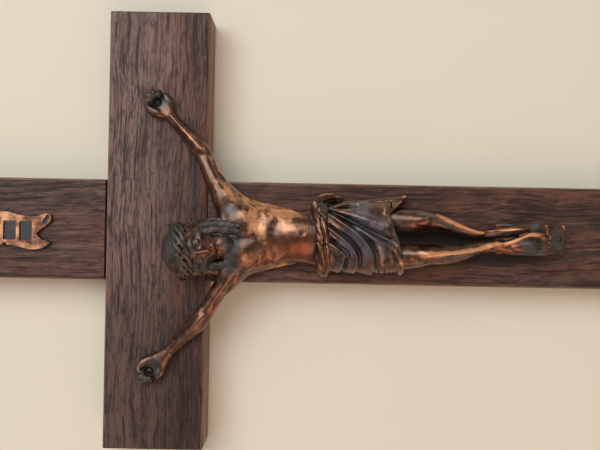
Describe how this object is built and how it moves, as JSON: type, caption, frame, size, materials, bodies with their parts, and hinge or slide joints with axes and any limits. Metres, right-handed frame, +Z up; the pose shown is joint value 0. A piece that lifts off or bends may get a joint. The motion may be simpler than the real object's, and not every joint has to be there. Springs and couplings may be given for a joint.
{
  "type": "wall crucifix",
  "caption": "Wall crucifix: half-lapped dark wooden beams carrying a cast copper-finished figure, a waisted scroll plate and small nails; it hangs on a wall nail by a blind hole.",
  "frame": {"origin": "middle of the mouth of the hanging hole, in the back face of the upright", "axes": "+Z up the upright, +Y out of the back into the wall, front and figure towards -Y, +X to the viewer's right"},
  "size_m": [0.148, 0.0298, 0.254],
  "materials": {
    "wood": "dark stained, open pored, thin satin varnish worn at the edges",
    "copper": "copper finish with dark patina in the hollows, rubbed bright on the high places",
    "dark_metal": "darkened, dull"
  },
  "bodies": {
    "root": {"upright": "wood", "crossbeam": "wood", "corpus": "copper", "title_scroll": "copper", "left_hand_nail": "dark_metal", "right_hand_nail": "dark_metal", "foot_nail": "dark_metal", "left_scroll_pin": "dark_metal", "right_scroll_pin": "dark_metal"}
  },
  "joints": []
}
